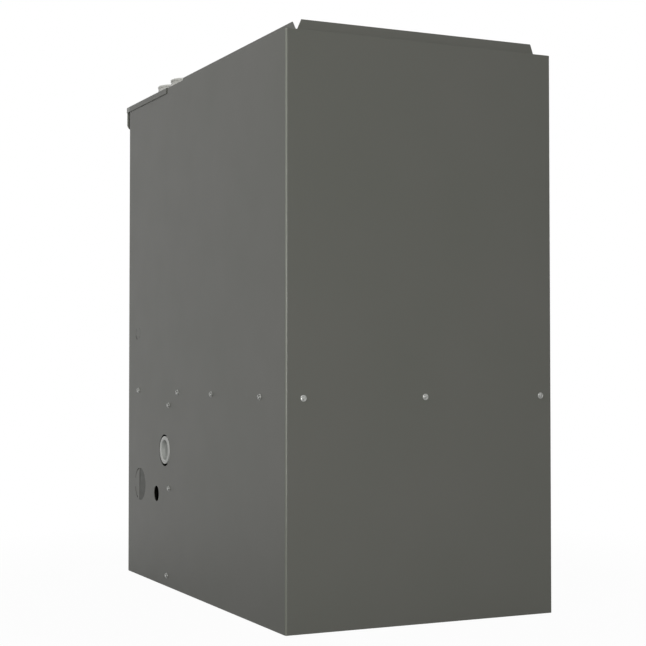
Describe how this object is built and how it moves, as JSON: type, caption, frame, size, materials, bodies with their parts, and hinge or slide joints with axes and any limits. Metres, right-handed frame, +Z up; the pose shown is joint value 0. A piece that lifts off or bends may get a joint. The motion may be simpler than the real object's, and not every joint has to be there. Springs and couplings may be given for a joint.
{
  "type": "forced air gas furnace",
  "caption": "Upflow condensing gas furnace in a folded steel cabinet, with blower, burners, heat exchangers, inducer, trap and removable doors.",
  "frame": {"origin": "Centre of the cabinet's footprint on the floor", "axes": "+Z up; front with the doors towards -Y, back towards +Y, the furnace's right side towards +X"},
  "size_m": [0.4556, 0.7388, 0.897],
  "materials": {
    "panel_paint": "satin warm-grey baked enamel on sheet steel",
    "galvanized": "galvanized sheet steel",
    "insulation": "foil-faced fibre lining",
    "zinc": "bright zinc-plated steel",
    "black_plastic": "moulded black plastic",
    "clear_lens": "clear heat-resistant lens",
    "wheel_steel": "galvanized wheel steel",
    "motor_enamel": "black motor enamel",
    "can_aluminium": "drawn aluminium can",
    "board_green": "solder-masked circuit board",
    "core_steel": "varnished laminated steel",
    "red_plastic": "moulded red plastic",
    "wire_jacket": "taped wire bundle",
    "aluminized_steel": "aluminized steel, slightly straw-coloured",
    "black_pipe": "black steel pipe",
    "brass": "turned brass",
    "cast_aluminium": "die-cast aluminium",
    "rubber": "moulded black rubber",
    "ceramic": "glazed ceramic",
    "coil_metal": "aluminium fins on stainless tubes",
    "light_plastic": "moulded light grey plastic",
    "pvc": "light grey rigid pipe plastic"
  },
  "bodies": {
    "cabinet": {"casing_wrap": "panel_paint", "front_cap": "panel_paint", "base_pan": "galvanized", "header_rail": "galvanized", "blower_deck": "galvanized", "vestibule_panel": "galvanized", "casing_insulation": "insulation", "cabinet_screws": "zinc", "blower_housing": "galvanized", "blower_rails": "galvanized", "blower_motor": "motor_enamel", "motor_mount": "galvanized", "run_capacitor": "can_aluminium", "control_bracket": "galvanized", "control_board": "board_green", "transformer": "core_steel", "door_switch": "black_plastic", "wire_harness": "wire_jacket", "junction_box": "galvanized", "burner_box": "galvanized", "burners": "aluminized_steel", "gas_manifold": "black_pipe", "gas_orifices": "brass", "gas_valve": "cast_aluminium", "grommets": "rubber", "igniter": "ceramic", "flame_sensor": "ceramic", "rollout_switches": "black_plastic", "limit_switch": "black_plastic", "primary_tubes": "aluminized_steel", "rear_collector": "aluminized_steel", "secondary_coil": "coil_metal", "front_collector": "black_plastic", "inducer_housing": "black_plastic", "inducer_motor": "motor_enamel", "pressure_switch": "light_plastic", "pressure_tube": "rubber", "condensate_trap": "light_plastic", "trap_cap": "light_plastic", "trap_bracket": "galvanized", "drain_hose": "rubber", "vent_coupling": "rubber", "vent_pipe": "pvc", "air_pipe": "pvc", "pipe_seals": "rubber"},
    "upper_door": {"upper_door": "panel_paint", "burner_window": "clear_lens", "door_liner": "insulation"},
    "upper_knob": {"upper_knob": "black_plastic"},
    "lower_door": {"lower_door": "panel_paint"},
    "lower_knob": {"lower_knob": "black_plastic"},
    "blower_rotor": {"blower_wheel": "wheel_steel", "motor_shaft": "wheel_steel"},
    "inducer_rotor": {"inducer_wheel": "can_aluminium", "inducer_fan": "can_aluminium"},
    "gas_valve_knob": {"gas_valve_knob": "black_plastic"},
    "switch_plunger": {"switch_plunger": "red_plastic"},
    "reset_button_left": {"reset_button_left": "red_plastic"},
    "reset_button_right": {"reset_button_right": "red_plastic"}
  },
  "joints": [
    {"name": "upper_door_pull", "type": "slide", "parent": "cabinet", "child": "upper_door", "axis": [0, -1, 0], "range_m": [0, 0.25]},
    {"name": "lower_door_pull", "type": "slide", "parent": "cabinet", "child": "lower_door", "axis": [0, -1, 0], "range_m": [0, 0.25]},
    {"name": "upper_knob_turn", "type": "hinge", "parent": "upper_door", "child": "upper_knob", "pos_m": [0, -0.36, 0.8], "axis": [0, -1, 0], "continuous": true},
    {"name": "lower_knob_turn", "type": "hinge", "parent": "lower_door", "child": "lower_knob", "pos_m": [0, -0.36, 0.312], "axis": [0, -1, 0], "continuous": true},
    {"name": "blower_spin", "type": "hinge", "parent": "cabinet", "child": "blower_rotor", "pos_m": [0, 0.06, 0.172], "axis": [1, 0, 0], "continuous": true},
    {"name": "inducer_spin", "type": "hinge", "parent": "cabinet", "child": "inducer_rotor", "pos_m": [0.075, -0.3, 0.455], "axis": [0, -1, 0], "continuous": true},
    {"name": "gas_valve_turn", "type": "hinge", "parent": "cabinet", "child": "gas_valve_knob", "pos_m": [-0.02, -0.33, 0.668], "axis": [0, -1, 0], "range_deg": [0, 90]},
    {"name": "switch_plunger_slide", "type": "slide", "parent": "cabinet", "child": "switch_plunger", "axis": [0, -1, 0], "range_m": [0, 0.004]},
    {"name": "reset_left_pop", "type": "slide", "parent": "cabinet", "child": "reset_button_left", "axis": [0, 0, 1], "range_m": [0, 0.0015]},
    {"name": "reset_right_pop", "type": "slide", "parent": "cabinet", "child": "reset_button_right", "axis": [0, 0, 1], "range_m": [0, 0.0015]}
  ],
  "couplings": [
    {"joint": "switch_plunger_slide", "follows": "lower_door_pull", "ratio": 0.016}
  ]
}
